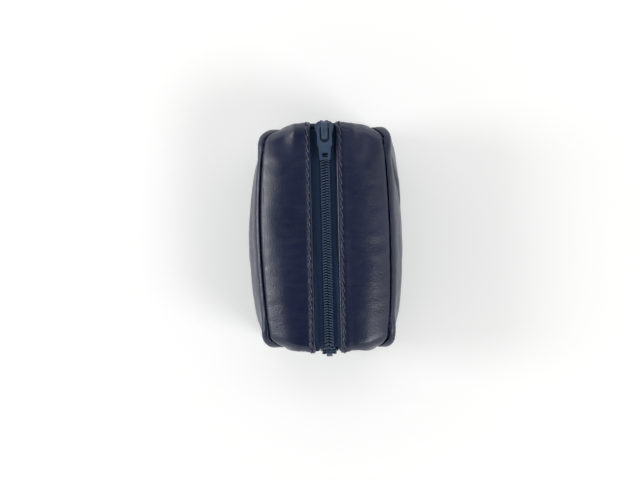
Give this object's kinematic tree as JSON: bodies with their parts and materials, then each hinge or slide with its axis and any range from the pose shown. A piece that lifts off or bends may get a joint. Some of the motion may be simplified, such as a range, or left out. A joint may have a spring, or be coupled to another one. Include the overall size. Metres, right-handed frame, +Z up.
{
  "type": "zippered pouch",
  "caption": "Boxy leather pouch with rounded sides, sewn seams and a coil zip over the top between two leather strips; sliders with swinging pulls close its hinged mouth.",
  "frame": {"origin": "middle of the flat underside, on the table", "axes": "+X to the right across the zip, +Y along the zip towards its rear end, +Z up from the table"},
  "size_m": [0.074, 0.1112, 0.0633],
  "materials": {
    "side_leather": "dark navy grained leather, semi-matt with a soft sheen",
    "top_leather": "dark navy grained leather, semi-matt with a soft sheen",
    "gusset_leather": "dark navy grained leather, semi-matt with a soft sheen",
    "lining_cloth": "plain woven navy lining cloth, matt",
    "zip_tape": "herringbone woven navy zip tape, matt",
    "zip_coil": "navy nylon coil, satin",
    "zip_stop": "bare metal, satin",
    "thread": "grey-blue twisted sewing thread, matt",
    "slider_metal": "slate-blue enamelled zinc, satin",
    "pull_metal": "slate-blue enamelled zinc, satin",
    "lock_pin": "bare spring steel"
  },
  "bodies": {
    "shell": {"left_side_panel": "side_leather", "right_side_panel": "side_leather", "gusset": "gusset_leather", "left_side_lining": "lining_cloth", "right_side_lining": "lining_cloth", "gusset_lining": "lining_cloth", "left_top_panel_rear": "top_leather", "left_top_panel_front": "top_leather", "right_top_panel_rear": "top_leather", "right_top_panel_front": "top_leather", "left_tape_rear": "zip_tape", "left_tape_front": "zip_tape", "right_tape_rear": "zip_tape", "right_tape_front": "zip_tape", "left_coil_rear": "zip_coil", "left_coil_front": "zip_coil", "right_coil_rear": "zip_coil", "right_coil_front": "zip_coil", "rear_stops": "zip_stop", "front_stops": "zip_stop", "left_topstitch_ends": "thread", "right_topstitch_ends": "thread", "left_seam_thread": "thread", "right_seam_thread": "thread"},
    "left_lip": {"left_top_panel": "top_leather", "left_top_lining": "lining_cloth", "left_tape": "zip_tape", "left_coil": "zip_coil", "left_topstitch": "thread"},
    "right_lip": {"right_top_panel": "top_leather", "right_top_lining": "lining_cloth", "right_tape": "zip_tape", "right_coil": "zip_coil", "right_topstitch": "thread"},
    "rear_slider": {"rear_slider_body": "slider_metal", "rear_slider_cap": "slider_metal", "rear_slider_lock_pin": "lock_pin"},
    "rear_pull": {"rear_pull": "pull_metal"},
    "front_slider": {"front_slider_body": "slider_metal", "front_slider_cap": "slider_metal", "front_slider_lock_pin": "lock_pin"},
    "front_pull": {"front_pull": "pull_metal"}
  },
  "joints": [
    {"name": "left_lip_open", "type": "hinge", "parent": "shell", "child": "left_lip", "pos_m": [-0.0293, 0, 0.0552], "axis": [0, -1, 0], "range_deg": [0, 50]},
    {"name": "right_lip_open", "type": "hinge", "parent": "shell", "child": "right_lip", "pos_m": [0.0293, 0, 0.0552], "axis": [0, 1, 0], "range_deg": [0, 50]},
    {"name": "rear_slider_travel", "type": "slide", "parent": "shell", "child": "rear_slider", "axis": [0, -1, 0], "range_m": [0, 0.087]},
    {"name": "rear_pull_swing", "type": "hinge", "parent": "rear_slider", "child": "rear_pull", "pos_m": [0, 0.05085, 0.06165], "axis": [-1, 0, 0], "range_deg": [0, 175]},
    {"name": "front_slider_travel", "type": "slide", "parent": "shell", "child": "front_slider", "axis": [0, 0, -1], "range_m": [0, 0.007]},
    {"name": "front_pull_swing", "type": "hinge", "parent": "front_slider", "child": "front_pull", "pos_m": [0, -0.05505, 0.04685], "axis": [-1, 0, 0], "range_deg": [0, 170]}
  ]
}
